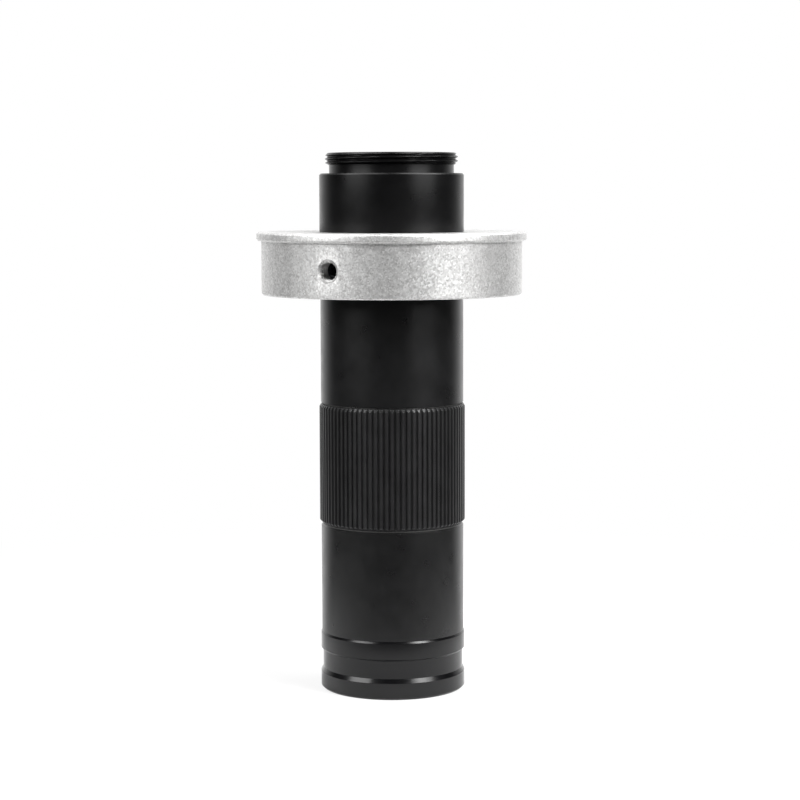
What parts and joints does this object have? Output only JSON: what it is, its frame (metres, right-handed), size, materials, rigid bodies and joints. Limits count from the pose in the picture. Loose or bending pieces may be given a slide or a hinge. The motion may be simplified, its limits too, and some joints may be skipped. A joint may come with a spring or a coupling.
{
  "type": "microscope camera lens",
  "caption": "Slim zoom lens for a microscope camera: screw camera mount, clamped silver holder ring, knurled zoom ring and grooved front ring around sliding glass lens groups.",
  "frame": {"origin": "centre of the front ring's lower face, on which the lens stands", "axes": "+Z along the optical axis, from the front lens up to the camera mount; -Y is the side that the picture shows; +X is to the picture's right"},
  "size_m": [0.0518, 0.0518, 0.1033],
  "materials": {
    "head_black": "black anodised, satin",
    "barrel_black": "black anodised, satin",
    "knurl_black": "black anodised over straight knurling",
    "tube_black": "black anodised, satin",
    "front_black": "black anodised, satin",
    "holder_silver": "bead-blasted, clear anodised",
    "screw_black": "black oxide",
    "washer_plastic": "low-friction plastic",
    "cell_brass": "turned brass",
    "pin_brass": "turned brass",
    "inner_black": "black anodised, matt",
    "crown_glass": "polished, coated",
    "flint_glass": "polished, coated"
  },
  "bodies": {
    "lens_body": {"c_mount_head": "head_black", "main_barrel": "barrel_black", "upper_thrust_washer": "washer_plastic", "lower_thrust_washer": "washer_plastic", "objective_tube": "tube_black", "front_ring": "front_black", "objective_crown": "crown_glass", "objective_flint": "flint_glass", "objective_retainer": "inner_black", "second_objective_lens": "crown_glass", "second_objective_retainer": "inner_black", "aperture_stop": "inner_black", "stop_retainer": "inner_black", "relay_lens": "crown_glass", "rear_spacer": "inner_black", "rear_crown": "crown_glass", "rear_flint": "flint_glass", "rear_retainer": "inner_black"},
    "holder": {"holder_ring": "holder_silver", "holder_grub_screws": "screw_black"},
    "zoom": {"zoom_ring": "knurl_black"},
    "variator": {"variator_cell": "cell_brass", "variator_hollow_lens": "crown_glass", "variator_meniscus": "flint_glass", "variator_retainer": "inner_black", "variator_pins": "pin_brass"},
    "compensator": {"compensator_cell": "cell_brass", "compensator_crown": "crown_glass", "compensator_flint": "flint_glass", "compensator_retainer": "inner_black", "compensator_pins": "pin_brass"}
  },
  "joints": [
    {"name": "zoom_turn", "type": "hinge", "parent": "lens_body", "child": "zoom", "pos_m": [0, 0, 0.0438], "axis": [0, 0, 1], "range_deg": [0, 120]},
    {"name": "variator_slide", "type": "slide", "parent": "zoom", "child": "variator", "axis": [0, 0, 1], "range_m": [0, 0.0084]},
    {"name": "compensator_slide", "type": "slide", "parent": "zoom", "child": "compensator", "axis": [0, 0, 1], "range_m": [-0.004, 0]},
    {"name": "holder_slide", "type": "slide", "parent": "lens_body", "child": "holder", "axis": [0, 0, 1], "range_m": [-0.0205, 0]}
  ],
  "couplings": [
    {"joint": "variator_slide", "follows": "zoom_turn", "m_per_rad": 0.0040107},
    {"joint": "compensator_slide", "follows": "zoom_turn", "m_per_rad": -0.0019098}
  ]
}
